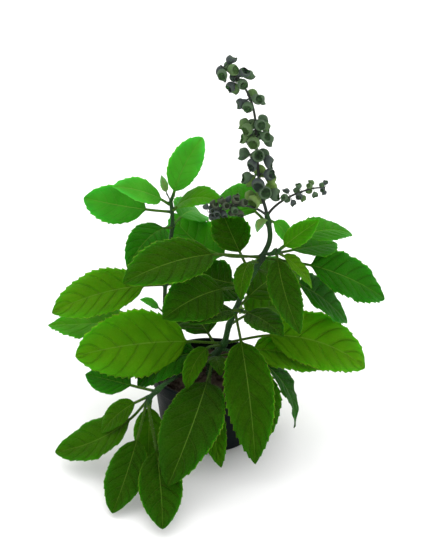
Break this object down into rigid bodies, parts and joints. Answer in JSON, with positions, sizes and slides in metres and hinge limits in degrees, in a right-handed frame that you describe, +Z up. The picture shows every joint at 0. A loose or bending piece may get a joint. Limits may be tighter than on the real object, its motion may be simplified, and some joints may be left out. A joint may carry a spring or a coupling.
{
  "type": "potted holy basil plant",
  "caption": "Small bushy holy basil in a round nursery pot of soil: toothed oval leaves in opposite pairs on thin stems, with spikes of dark seed cups above them.",
  "frame": {"origin": "middle of the pot's flat base, on the surface that it stands on", "axes": "+Z up, -Y the front of the plant, +X to the right seen from the front"},
  "size_m": [0.1801, 0.1434, 0.1999],
  "materials": {
    "pot": "matt near-black with a faint blue-green cast",
    "soil": "rough damp peat and bark",
    "stem": "soft, dark green to purplish, finely hairy",
    "leaf": "satin green, thin, lets light through",
    "young_leaf": "satin yellow-green, thin, lets light through",
    "flower_spike": "dry grey-green to purplish brown, finely hairy"
  },
  "bodies": {
    "root": {"pot": "pot", "soil": "soil", "main_stem": "stem", "left_stem": "stem", "low_left_branch": "stem", "base_right_shoot": "stem", "front_shoot": "stem", "right_shoot": "stem", "foot_leaf_left": "leaf", "foot_leaf_small": "leaf", "foot_leaf_front_large": "leaf", "foot_leaf_front_small": "leaf", "foot_leaf_right": "leaf", "foot_leaf_back": "leaf", "first_leaf_left": "leaf", "first_leaf_right": "leaf", "first_leaf_narrow": "leaf", "first_leaf_back": "leaf", "second_leaf_front": "leaf", "second_leaf_back": "leaf", "inner_leaf_front_left": "leaf", "inner_leaf_back_left": "leaf", "third_leaf_left": "leaf", "third_leaf_right": "leaf", "third_leaf_under_right": "leaf", "third_leaf_young": "young_leaf", "top_leaf_back_left": "leaf", "top_leaf_back": "leaf", "bract_left": "young_leaf", "bract_right": "young_leaf", "bract_back": "leaf", "left_low_leaf_front": "leaf", "left_low_leaf_back": "leaf", "left_low_leaf_small": "leaf", "left_low_leaf_inner": "leaf", "left_mid_leaf_front": "leaf", "left_mid_leaf_back": "leaf", "left_top_leaf_left": "leaf", "left_top_leaf_right": "leaf", "left_bud_leaf_folded": "young_leaf", "left_bud_leaf_upright": "leaf", "left_bud_leaf_young": "young_leaf", "low_leaf_left": "leaf", "low_leaf_left_small": "leaf", "low_leaf_middle": "leaf", "low_leaf_front_left": "leaf", "low_leaf_front_right": "leaf", "low_leaf_back": "leaf", "base_shoot_leaf_inner": "leaf", "base_shoot_leaf_outer": "leaf", "front_shoot_leaf_left": "leaf", "front_shoot_leaf_right": "leaf", "right_shoot_leaf_back": "leaf", "right_shoot_leaf_mid": "leaf", "right_shoot_leaf_young": "young_leaf", "right_shoot_leaf_low": "young_leaf", "right_shoot_leaf_front": "leaf", "middle_spike": "flower_spike", "left_spike": "flower_spike", "right_spike": "flower_spike"}
  },
  "joints": []
}
